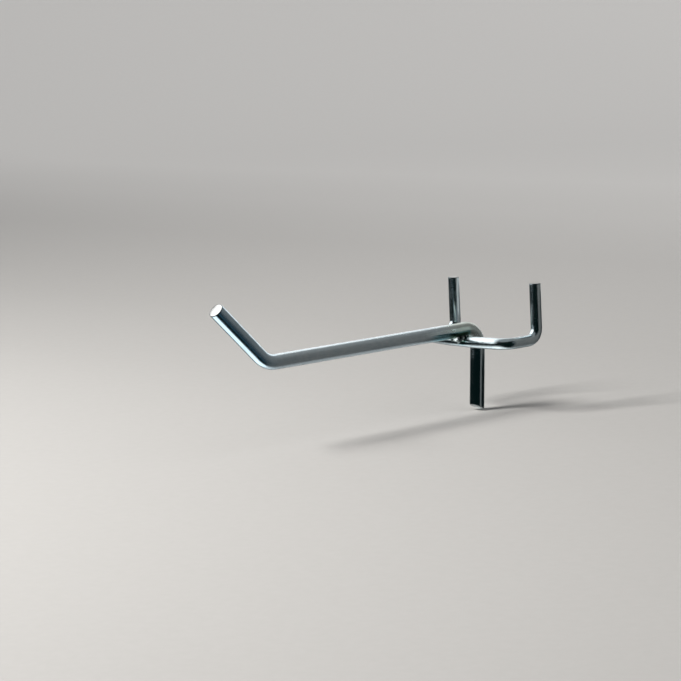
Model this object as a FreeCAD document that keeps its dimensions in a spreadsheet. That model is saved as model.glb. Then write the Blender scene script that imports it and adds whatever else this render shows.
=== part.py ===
# Double-pronged wall hook, bent from two round steel wires and welded.
#
# Frame: the plane Y = 0 is the mounting plane, +X runs along it, +Y runs the
# way the prongs go in, +Z is up. The origin lies on that plane, midway between
# the axes of the two prongs.
#
# arm_rod     thick wire in the plane X = 0: a leg hanging down in front of the
#             mounting plane, a straight arm and an upturned tip
# wall_fork   thinner wire: a bowed crosspiece under the arm, two prongs that
#             cross the mounting plane, and ends turned up behind it
# weld_flash  weld metal squeezed out all round the place where they cross

import FreeCAD, Part
import math
import os
import Sketcher

V = FreeCAD.Vector
doc = FreeCAD.newDocument("WireHook")

# ---------------------------------------------------------------- dimensions
# All lengths in millimetres, all angles in degrees.
DIMENSIONS = [
    ("arm_wire", 6.5, "diameter of the arm's wire"),
    ("fork_wire", 5.0, "diameter of the fork's wire"),
    ("arm_height", 4.8, "arm axis above the prong axes"),
    ("rear_vertex", 5.5, "mounting plane to the corner of arm and leg axes"),
    ("front_vertex", 125.2, "mounting plane to the corner of arm and tip axes"),
    ("rear_bend", 7.3, "axis radius of the bend between arm and leg"),
    ("front_bend", 11.0, "axis radius of the bend between arm and tip"),
    ("tip_rise", 45.0, "tip above the arm's line"),
    ("tip_length", 35.0, "front corner to the tip's end, along the axis"),
    ("leg_lean", 3.9, "leg from square to the arm, foot away from the mounting plane"),
    ("leg_drop", 30.3, "prong axes down to the middle of the leg's cut"),
    ("leg_spare", 4.0, "wire below the cut before it is cut"),
    ("leg_cut", 26.0, "slope of the leg's cut, falling towards the mounting plane"),
    ("tip_break", 0.25, "edge break round the tip's end face"),
    ("foot_break", 0.35, "edge rounding round the leg's cut"),
    ("prong_spacing", 50.8, "distance between the prong axes"),
    ("cross_depth", 15.93, "mounting plane to the front of the crosspiece's axis"),
    ("bow_radius", 96.0, "axis radius of the crosspiece's bow"),
    ("corner_bend", 7.3, "axis radius of the crosspiece's two corners"),
    ("prong_behind", 5.2, "mounting plane to the upturned ends' axes"),
    ("upturn_bend", 5.0, "axis radius of the bends behind the mounting plane"),
    ("upturn_height", 24.5, "prong axes to the top of the upturned ends"),
    ("prong_break", 0.4, "edge break on the upturned ends"),
    ("flash_fore", 16.4, "mounting plane to the middle of the weld metal"),
    ("flash_up", 1.4, "middle of the weld metal above the prong axes"),
    ("flash_wide", 4.4, "weld metal's half width along X"),
    ("flash_long", 4.4, "weld metal's half length along Y"),
    ("flash_tall", 2.2, "weld metal's half height"),
]
sheet = doc.addObject("Spreadsheet::Sheet", "Dimensions")
for row, (alias, value, note) in enumerate(DIMENSIONS, start=1):
    sheet.set("A%d" % row, note)
    sheet.set("B%d" % row, str(value))
    sheet.setAlias("B%d" % row, alias)
doc.recompute()


def dim(alias):
    """The present value of a cell, for a sketch's starting shape."""
    return float(sheet.get(alias))


D = "Dimensions."


def plane(body, role):
    """One of the body's own origin planes."""
    return [f for f in body.Origin.OriginFeatures if f.Role == role][0]


def sketch_on(body, name, role, offset=None):
    """A sketch on one of the body's origin planes. offset binds the
    attachment's base coordinates to the sheet."""
    s = body.newObject("Sketcher::SketchObject", name)
    s.AttachmentSupport = [(plane(body, role), "")]
    s.MapMode = "FlatFace"
    for path, expr in (offset or {}).items():
        s.setExpression("AttachmentOffset." + path, expr)
    return s


def bind(s, kind, args, value, name, expr):
    """Add a named driving constraint and bind it to the sheet."""
    i = s.addConstraint(Sketcher.Constraint(kind, *args, value))
    s.renameConstraint(i, name)
    s.setExpression("Constraints." + name, expr)


def line(s, a, b):
    return s.addGeometry(Part.LineSegment(V(a[0], a[1], 0), V(b[0], b[1], 0)), False)


def arc(s, centre, radius, start_deg, end_deg):
    """Counter-clockwise arc; its start point is at start_deg."""
    c = Part.Circle(V(centre[0], centre[1], 0), V(0, 0, 1), radius)
    return s.addGeometry(Part.ArcOfCircle(c, math.radians(start_deg), math.radians(end_deg)), False)


def round_profile(body, name, role, centre_x, centre_y, diameter, offset):
    """A circle, its centre given as (value, expression) pairs."""
    s = sketch_on(body, name, role, offset)
    c = s.addGeometry(Part.Circle(V(centre_x[0], centre_y[0], 0), V(0, 0, 1), dim(diameter) / 2), False)
    bind(s, "Diameter", (c,), dim(diameter), "wire", D + diameter)
    for axis, kind, (value, expr) in (("x", "DistanceX", centre_x), ("y", "DistanceY", centre_y)):
        if expr is None:
            s.addConstraint(Sketcher.Constraint("PointOnObject", c, 3, -2 if axis == "x" else -1))
        elif value < 0:
            bind(s, kind, (c, 3, -1, 1), -value, "centre_" + axis, "-(" + expr + ")")
        else:
            bind(s, kind, (-1, 1, c, 3), value, "centre_" + axis, expr)
    return s


def pipe(body, name, profile, path):
    p = body.newObject("PartDesign::AdditivePipe", name)
    p.Profile = profile
    p.Spine = (path, ["Edge%d" % (i + 1) for i in range(path.GeometryCount) if not path.getConstruction(i)])
    return p


def end_edges(shape, point, reach):
    """Names of the edges whose every point lies within reach of a point."""
    names = []
    for i, e in enumerate(shape.Edges, start=1):
        pts = e.discretize(9)
        if e.Length > 1.0 and all(q.sub(point).Length <= reach for q in pts):
            names.append("Edge%d" % i)
    return names


# ------------------------------------------------------------------ arm_rod
arm = doc.addObject("PartDesign::Body", "ArmRod")
arm.Label = "arm_rod"

h = dim("arm_height")
rise, lean = math.radians(dim("tip_rise")), math.radians(dim("leg_lean"))
low = dim("leg_drop") + dim("leg_spare")
rear, front = (-dim("rear_vertex"), h), (-dim("front_vertex"), h)
leg_dir = (-math.sin(lean), -math.cos(lean))
foot = (rear[0] - (h + low) * math.tan(lean), -low)
t_rear = dim("rear_bend") * math.tan((math.pi / 2 + lean) / 2)
t_front = dim("front_bend") * math.tan(rise / 2)
p1 = (rear[0] + leg_dir[0] * t_rear, rear[1] + leg_dir[1] * t_rear)
p2 = (rear[0] - t_rear, h)
p3 = (front[0] + t_front, h)
p4 = (front[0] - t_front * math.cos(rise), h + t_front * math.sin(rise))
p5 = (front[0] - dim("tip_length") * math.cos(rise), h + dim("tip_length") * math.sin(rise))

arm_path = sketch_on(arm, "ArmPath", "YZ_Plane")
g_leg = line(arm_path, foot, p1)
g_rear = arc(arm_path, (p2[0], h - dim("rear_bend")), dim("rear_bend"), -dim("leg_lean"), 90)
g_arm = line(arm_path, p2, p3)
g_front = arc(arm_path, (p3[0], h + dim("front_bend")), dim("front_bend"), 270 - dim("tip_rise"), 270)
g_tip = line(arm_path, p4, p5)
g_v1 = arm_path.addGeometry(Part.Point(V(rear[0], rear[1], 0)), True)
g_v2 = arm_path.addGeometry(Part.Point(V(front[0], front[1], 0)), True)
arm_path.addConstraint([
    Sketcher.Constraint("Tangent", g_leg, 2, g_rear, 1),
    Sketcher.Constraint("Tangent", g_rear, 2, g_arm, 1),
    Sketcher.Constraint("Tangent", g_arm, 2, g_front, 2),
    Sketcher.Constraint("Tangent", g_front, 1, g_tip, 1),
    Sketcher.Constraint("Horizontal", g_arm),
    Sketcher.Constraint("PointOnObject", g_v1, 1, g_leg),
    Sketcher.Constraint("PointOnObject", g_v1, 1, g_arm),
    Sketcher.Constraint("PointOnObject", g_v2, 1, g_arm),
    Sketcher.Constraint("PointOnObject", g_v2, 1, g_tip),
])
bind(arm_path, "Radius", (g_rear,), dim("rear_bend"), "rear_bend", D + "rear_bend")
bind(arm_path, "Radius", (g_front,), dim("front_bend"), "front_bend", D + "front_bend")
bind(arm_path, "DistanceY", (-1, 1, g_arm, 1), h, "arm_height", D + "arm_height")
bind(arm_path, "DistanceX", (g_v1, 1, -1, 1), dim("rear_vertex"), "rear_vertex", D + "rear_vertex")
bind(arm_path, "DistanceX", (g_v2, 1, -1, 1), dim("front_vertex"), "front_vertex", D + "front_vertex")
bind(arm_path, "DistanceY", (g_leg, 1, -1, 1), low, "foot", D + "leg_drop + " + D + "leg_spare")
bind(arm_path, "Angle", (g_leg,), math.pi / 2 - lean, "leg_angle", "(90 - " + D + "leg_lean) * 1 deg")
bind(arm_path, "Angle", (g_tip,), math.pi - rise, "tip_angle", "(180 - " + D + "tip_rise) * 1 deg")
bind(arm_path, "Distance", (g_v2, 1, g_tip, 2), dim("tip_length"), "tip_length", D + "tip_length")

# the wire's section, square to the leg at its lower end
arm_profile = round_profile(
    arm, "ArmSection", "XY_Plane", (0.0, None), (0.0, None), "arm_wire",
    {"Base.y": "-" + D + "rear_vertex - (" + D + "arm_height + " + D + "leg_drop + " + D + "leg_spare) * tan(" + D + "leg_lean * 1 deg)",
     "Base.z": "-(" + D + "leg_drop + " + D + "leg_spare)"})
arm_profile.AttachmentOffset = FreeCAD.Placement(V(0, foot[0], foot[1]), FreeCAD.Rotation(V(1, 0, 0), -dim("leg_lean")))
arm_profile.setExpression("AttachmentOffset.Rotation.Angle", "-" + D + "leg_lean * 1 deg")
doc.recompute()

arm_pipe = pipe(arm, "ArmBent", arm_profile, arm_path)
doc.recompute()

# the leg's sheared end: everything below a sloping line goes
slope = math.radians(dim("leg_cut"))
mid = (rear[0] - (h + dim("leg_drop")) * math.tan(lean), -dim("leg_drop"))
half = 8.0
cut = sketch_on(arm, "LegShear", "YZ_Plane")
ca = (mid[0] - half, mid[1] + half * math.tan(slope))
cb = (mid[0] + half, mid[1] - half * math.tan(slope))
cc, cd = (cb[0], mid[1] - 12.0), (ca[0], mid[1] - 12.0)
c0, c1, c2, c3 = line(cut, ca, cb), line(cut, cb, cc), line(cut, cc, cd), line(cut, cd, ca)
c_mid = cut.addGeometry(Part.Point(V(mid[0], mid[1], 0)), True)
cut.addConstraint([
    Sketcher.Constraint("Coincident", c0, 2, c1, 1),
    Sketcher.Constraint("Coincident", c1, 2, c2, 1),
    Sketcher.Constraint("Coincident", c2, 2, c3, 1),
    Sketcher.Constraint("Coincident", c3, 2, c0, 1),
    Sketcher.Constraint("Vertical", c1),
    Sketcher.Constraint("Horizontal", c2),
    Sketcher.Constraint("Vertical", c3),
    Sketcher.Constraint("Symmetric", c0, 1, c0, 2, c_mid, 1),
    Sketcher.Constraint("DistanceX", c0, 1, c0, 2, 2 * half),
    Sketcher.Constraint("DistanceY", c2, 1, c_mid, 1, 12.0),
])
bind(cut, "Angle", (c0,), -slope, "slope", "-" + D + "leg_cut * 1 deg")
bind(cut, "DistanceY", (c_mid, 1, -1, 1), dim("leg_drop"), "drop", D + "leg_drop")
bind(cut, "DistanceX", (c_mid, 1, -1, 1), -mid[0], "out",
     D + "rear_vertex + (" + D + "arm_height + " + D + "leg_drop) * tan(" + D + "leg_lean * 1 deg)")
doc.recompute()
shear = arm.newObject("PartDesign::Pocket", "LegCut")
shear.Profile = cut
shear.SideType = "Symmetric"
shear.setExpression("Length", D + "arm_wire * 3")
doc.recompute()
if shear.Shape.Volume > arm_pipe.Shape.Volume - 20.0:
    raise RuntimeError("the leg's cut removed nothing")

# edge break round the tip's end, and a rounded edge round the leg's cut
tip_chamfer = arm.newObject("PartDesign::Chamfer", "TipBreak")
tip_chamfer.Base = (shear, end_edges(shear.Shape, V(0, p5[0], p5[1]), dim("arm_wire") * 0.6))
tip_chamfer.setExpression("Size", D + "tip_break")
doc.recompute()
foot_round = arm.newObject("PartDesign::Fillet", "FootBreak")
foot_round.Base = (tip_chamfer, end_edges(tip_chamfer.Shape, V(0, mid[0], mid[1]), dim("arm_wire") * 0.62))
foot_round.setExpression("Radius", D + "foot_break")
doc.recompute()

# ---------------------------------------------------------------- wall_fork
fork = doc.addObject("PartDesign::Body", "WallFork")
fork.Label = "wall_fork"

hx = dim("prong_spacing") / 2
y_end = dim("prong_behind") - dim("upturn_bend")
y_end_expr = D + "prong_behind - " + D + "upturn_bend"
rb, rc = dim("bow_radius"), dim("corner_bend")
cy = rb - dim("cross_depth")
bow = math.asin((hx - rc) / (rb - rc))
yc = cy - (rb - rc) * math.cos(bow)
bow_deg = math.degrees(bow)

# U-shaped axis in the plane Z = 0, seen from above
u_path = sketch_on(fork, "CrossPath", "XY_Plane")
u0 = line(u_path, (-hx, y_end), (-hx, yc))
u1 = arc(u_path, (-hx + rc, yc), rc, 180, 270 - bow_deg)
u2 = arc(u_path, (0, cy), rb, 270 - bow_deg, 270 + bow_deg)
u3 = arc(u_path, (hx - rc, yc), rc, 270 + bow_deg, 360)
u4 = line(u_path, (hx, yc), (hx, y_end))
u_path.addConstraint([
    Sketcher.Constraint("Tangent", u0, 2, u1, 1),
    Sketcher.Constraint("Tangent", u1, 2, u2, 1),
    Sketcher.Constraint("Tangent", u2, 2, u3, 1),
    Sketcher.Constraint("Tangent", u3, 2, u4, 1),
    Sketcher.Constraint("Vertical", u0),
    Sketcher.Constraint("Vertical", u4),
    Sketcher.Constraint("Equal", u1, u3),
    Sketcher.Constraint("PointOnObject", u2, 3, -2),
    Sketcher.Constraint("Symmetric", u0, 1, u4, 2, -2),
])
bind(u_path, "Radius", (u1,), rc, "corner_bend", D + "corner_bend")
bind(u_path, "Radius", (u2,), rb, "bow_radius", D + "bow_radius")
bind(u_path, "DistanceX", (u0, 1, u4, 2), 2 * hx, "spacing", D + "prong_spacing")
bind(u_path, "DistanceY", (-1, 1, u2, 3), cy, "depth", D + "bow_radius - " + D + "cross_depth")
bind(u_path, "DistanceY", (-1, 1, u0, 1), y_end, "ends", y_end_expr)

u_profile = round_profile(
    fork, "CrossSection", "XZ_Plane", (-hx, "-" + D + "prong_spacing / 2"), (0.0, None), "fork_wire",
    {"Base.z": "-(" + y_end_expr + ")"})
doc.recompute()
u_pipe = pipe(fork, "CrossBent", u_profile, u_path)
doc.recompute()

# upturned end behind the mounting plane, +X side
e_path = sketch_on(fork, "UpturnPath", "YZ_Plane", {"Base.z": D + "prong_spacing / 2"})
e0 = arc(e_path, (y_end, dim("upturn_bend")), dim("upturn_bend"), 270, 360)
e1 = line(e_path, (dim("prong_behind"), dim("upturn_bend")), (dim("prong_behind"), dim("upturn_height")))
e_path.addConstraint([
    Sketcher.Constraint("Tangent", e0, 2, e1, 1),
    Sketcher.Constraint("Vertical", e1),
    Sketcher.Constraint("PointOnObject", e0, 1, -1),
    Sketcher.Constraint("Vertical", e0, 1, e0, 3),
])
bind(e_path, "Radius", (e0,), dim("upturn_bend"), "upturn_bend", D + "upturn_bend")
bind(e_path, "DistanceX", (-1, 1, e0, 1), y_end, "start", y_end_expr)
bind(e_path, "DistanceY", (-1, 1, e1, 2), dim("upturn_height"), "height", D + "upturn_height")
e_profile = round_profile(
    fork, "UpturnSection", "XZ_Plane", (hx, D + "prong_spacing / 2"), (0.0, None), "fork_wire",
    {"Base.z": "-(" + y_end_expr + ")"})
doc.recompute()
e_pipe = pipe(fork, "UpturnBent", e_profile, e_path)
doc.recompute()
upturns = fork.newObject("PartDesign::Mirrored", "UpturnBoth")
upturns.Originals = [e_pipe]
upturns.MirrorPlane = (plane(fork, "YZ_Plane"), [""])
fork.Tip = upturns
doc.recompute()

# seat pressed into the crosspiece where the arm is welded into it
seat_sketch = round_profile(
    fork, "ArmSeatCircle", "XZ_Plane", (0.0, None), (h, D + "arm_height"), "arm_wire",
    {"Base.z": D + "cross_depth"})
doc.recompute()
seat = fork.newObject("PartDesign::Pocket", "ArmSeat")
seat.Profile = seat_sketch
seat.SideType = "Symmetric"
seat.setExpression("Length", D + "fork_wire * 2")
doc.recompute()
if seat.Shape.Volume > upturns.Shape.Volume - 5.0:
    raise RuntimeError("the arm's seat removed nothing")

prong_chamfer = fork.newObject("PartDesign::Chamfer", "UpturnBreak")
tops = []
for side in (-1, 1):
    tops += end_edges(seat.Shape, V(side * hx, dim("prong_behind"), dim("upturn_height")), dim("fork_wire") * 0.6)
prong_chamfer.Base = (seat, tops)
prong_chamfer.setExpression("Size", D + "prong_break")
doc.recompute()

# -------------------------------------------------------------- weld_flash
# A rounded lump at the crossing, less the two wires: what is left is a collar
# that fills the grooves between them all the way round and touches both.
lump = doc.addObject("Part::Ellipsoid", "FlashLump")
lump.setExpression("Radius1", D + "flash_tall")
lump.setExpression("Radius2", D + "flash_wide")
lump.setExpression("Radius3", D + "flash_long")
lump.setExpression("Placement.Base.y", "-" + D + "flash_fore")
lump.setExpression("Placement.Base.z", D + "flash_up")
off_arm = doc.addObject("Part::Cut", "FlashOffArm")
off_arm.Base, off_arm.Tool = lump, arm
flash = doc.addObject("Part::Cut", "WeldFlash")
flash.Base, flash.Tool = off_arm, fork
flash.Label = "weld_flash"
doc.recompute()

# ------------------------------------------------------------------ checks
for o in doc.Objects:
    if any(word in state for state in o.State for word in ("Invalid", "Error")):
        raise RuntimeError("%s is not sound: %s" % (o.Name, o.State))
for s in (arm_path, arm_profile, cut, u_path, u_profile, e_path, e_profile, seat_sketch):
    if s.solve() != 0:
        raise RuntimeError("sketch %s does not solve" % s.Name)

subparts = [arm, fork, flash]
for o in subparts:
    shape = o.Shape
    if shape.isNull() or not shape.isValid() or len(shape.Solids) != 1:
        raise RuntimeError("%s is not one sound solid" % o.Label)

# the bent wires' volumes against section times length
for o, path_len in (
    (arm_pipe, sum(arm_path.Geometry[i].length() for i in (g_leg, g_rear, g_arm, g_front, g_tip))),
    (u_pipe, sum(u_path.Geometry[i].length() for i in (u0, u1, u2, u3, u4))),
):
    r = dim("arm_wire" if o is arm_pipe else "fork_wire") / 2
    want = math.pi * r * r * path_len
    if abs(o.Shape.Volume - want) > 0.01 * want:
        raise RuntimeError("%s: volume %.1f, expected %.1f" % (o.Name, o.Shape.Volume, want))

os.makedirs("parts", exist_ok=True)
for o in subparts:
    o.Shape.exportStep("parts/%s.step" % o.Label)
    b = o.Shape.BoundBox
    print("%-16s volume %9.2f mm3  x %.2f..%.2f  y %.2f..%.2f  z %.2f..%.2f" % (
        o.Label, o.Shape.Volume, b.XMin, b.XMax, b.YMin, b.YMax, b.ZMin, b.ZMax))
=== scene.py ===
import math

import bpy
import numpy as np
from mathutils import Matrix, Vector


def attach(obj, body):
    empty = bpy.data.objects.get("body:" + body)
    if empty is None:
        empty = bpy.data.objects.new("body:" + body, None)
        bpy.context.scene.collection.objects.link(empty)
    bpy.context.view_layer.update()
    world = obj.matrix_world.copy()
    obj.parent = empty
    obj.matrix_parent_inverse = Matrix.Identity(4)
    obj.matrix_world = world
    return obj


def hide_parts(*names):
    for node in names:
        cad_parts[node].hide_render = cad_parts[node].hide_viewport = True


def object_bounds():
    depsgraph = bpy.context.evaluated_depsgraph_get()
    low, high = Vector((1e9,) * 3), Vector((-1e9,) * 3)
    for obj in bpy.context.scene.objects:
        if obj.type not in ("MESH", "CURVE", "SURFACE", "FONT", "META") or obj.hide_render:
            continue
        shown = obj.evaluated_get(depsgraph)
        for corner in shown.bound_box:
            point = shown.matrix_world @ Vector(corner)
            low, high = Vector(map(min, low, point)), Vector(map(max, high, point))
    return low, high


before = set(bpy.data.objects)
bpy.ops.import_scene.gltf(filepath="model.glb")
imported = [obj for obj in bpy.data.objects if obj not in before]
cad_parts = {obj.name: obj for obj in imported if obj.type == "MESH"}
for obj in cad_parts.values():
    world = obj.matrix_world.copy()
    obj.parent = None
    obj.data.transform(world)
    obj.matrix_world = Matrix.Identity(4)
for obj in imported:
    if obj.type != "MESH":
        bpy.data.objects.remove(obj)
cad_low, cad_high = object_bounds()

MM = 0.001
rng = np.random.default_rng(20417)
scene = bpy.context.scene

# ------------------------------------------------------------------ sizes, mm
ARM_R, FORK_R = 3.25, 2.5
ARM_Z, REAR_V, FRONT_V = 4.8, 5.5, 125.2
REAR_BEND, FRONT_BEND = 7.3, 11.0
TIP_RISE, TIP_LEN = 45.0, 35.0
LEAN, DROP, CUT = 3.9, 30.3, 26.0
HX, DEPTH, BOW_R, CORNER = 25.4, 15.93, 96.0, 7.3
BEHIND, UP_BEND, UP_TOP = 5.2, 5.0, 24.5


# ------------------------------------------------------------ studio values
CARD_TILT, CARD_COLOUR, CARD_ROUGH, CARD_IOR = 2.8, (0.242, 0.239, 0.234), 0.24, 2.5
KEY_DIR, KEY_SIZE, KEY_POWER, FILL = (-0.45, -1.0, 0.98), 0.46, 27.0, 1.15
WINDOW = ((-0.80, -0.52, 0.30), 32, 50, 2.0, -0.01, 0.13)       # direction, half angles, brightness, lower edge from, to
PATCHES = [  # direction, inner and outer half angle in degrees, brightness, colour
    ((0.15, -0.25, 1.0), 14, 40, 0.32, (0.95, 0.98, 1.0)),     # overhead
    ((-0.66, -0.06, 0.75), 12, 30, 1.5, (1.0, 1.0, 1.0)),      # the window's upper part
    ((-0.32, -0.10, -0.94), 15, 38, 1.7, (0.97, 1.0, 1.0)),    # bounce from below
    ((-0.12, -0.66, -0.76), 12, 30, 0.8, (0.97, 1.0, 1.0)),
    ((0.75, 0.24, -0.60), 4, 22, 0.11, (0.30, 0.68, 1.0)),     # blue depth, right and low
    ((-0.5, 0.85, 0.25), 20, 50, 0.4, (1.0, 0.98, 0.96)),      # behind
    ((0.9, 0.35, 0.35), 8, 30, 0.25, (0.93, 0.97, 1.0)),       # right, high
]


# ------------------------------------------------------------- smooth noise
def lattice(shape, seed):
    return np.random.default_rng(seed).random(shape).astype(np.float32) * 2 - 1


class Noise:
    """Smooth value noise in three dimensions, periodic over n cells."""

    def __init__(self, seed, n=32):
        self.n = n
        self.v = lattice((n, n, n), seed)

    def __call__(self, x, y, z):
        n = self.n
        xi, yi, zi = (np.floor(a).astype(np.int64) for a in (x, y, z))
        fx, fy, fz = x - xi, y - yi, z - zi
        fx, fy, fz = (f * f * f * (f * (f * 6 - 15) + 10) for f in (fx, fy, fz))
        out = 0.0
        for i in (0, 1):
            wx = fx if i else 1 - fx
            for j in (0, 1):
                wy = fy if j else 1 - fy
                for k in (0, 1):
                    wz = fz if k else 1 - fz
                    out = out + wx * wy * wz * self.v[(xi + i) % n, (yi + j) % n, (zi + k) % n]
        return out


def fbm(noise, x, y, z, octaves=3, gain=0.5):
    total, amp, norm = 0.0, 1.0, 0.0
    for o in range(octaves):
        f = 2.0 ** o
        total = total + amp * noise(x * f + 7.3 * o, y * f + 3.1 * o, z * f + 5.7 * o)
        norm += amp
        amp *= gain
    return total / norm


# ---------------------------------------------------------- centre lines
def rotation(axis, angle):
    return np.array(Matrix.Rotation(angle, 3, Vector(axis)))


def centreline(start, tangent, side, moves, step):
    """Walks lines and arcs and returns samples of place, tangent, side vector,
    up vector, length, bend curvature and the direction of the bend's centre."""
    p = np.array(start, float)
    f = np.array([tangent, side, np.cross(tangent, side)], float)  # rows T, B, N
    rows, s = [], 0.0
    for m in moves:
        if m[0] == "line":
            n = max(2, int(round(m[1] / step)))
            for k in range(n):
                u = k / n
                rows.append((p + f[0] * m[1] * u, f.copy(), s + m[1] * u, 0.0, np.zeros(3)))
            p = p + f[0] * m[1]
            s += m[1]
        else:
            _, radius, axis, degrees = m
            total = math.radians(degrees)
            length = radius * abs(total)
            n = max(4, int(round(length / (step * 0.85))))
            axis = np.array(axis, float)
            inward = np.cross(axis, f[0]) * math.copysign(1.0, total)
            centre = p + inward * radius
            for k in range(n):
                r = rotation(axis, total * k / n)
                rows.append((centre + r @ (p - centre), f @ r.T, s + length * k / n, 1.0 / radius, r @ inward))
            r = rotation(axis, total)
            p = centre + r @ (p - centre)
            f = f @ r.T
            s += length
    rows.append((p, f.copy(), s, 0.0, np.zeros(3)))
    return (np.array([r[0] for r in rows]), np.array([r[1] for r in rows]), np.array([r[2] for r in rows]),
            np.array([r[3] for r in rows]), np.array([r[4] for r in rows]))


def blur(a, width):
    """Running mean along the first axis, with the ends held."""
    width = int(width) | 1
    pad = width // 2
    b = np.concatenate([np.repeat(a[:1], pad, 0), a, np.repeat(a[-1:], pad, 0)])
    kernel = np.hanning(width + 2)[1:-1]
    kernel /= kernel.sum()
    if a.ndim == 1:
        return np.convolve(b, kernel, "valid")
    return np.stack([np.convolve(b[:, i], kernel, "valid") for i in range(a.shape[1])], 1)


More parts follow.
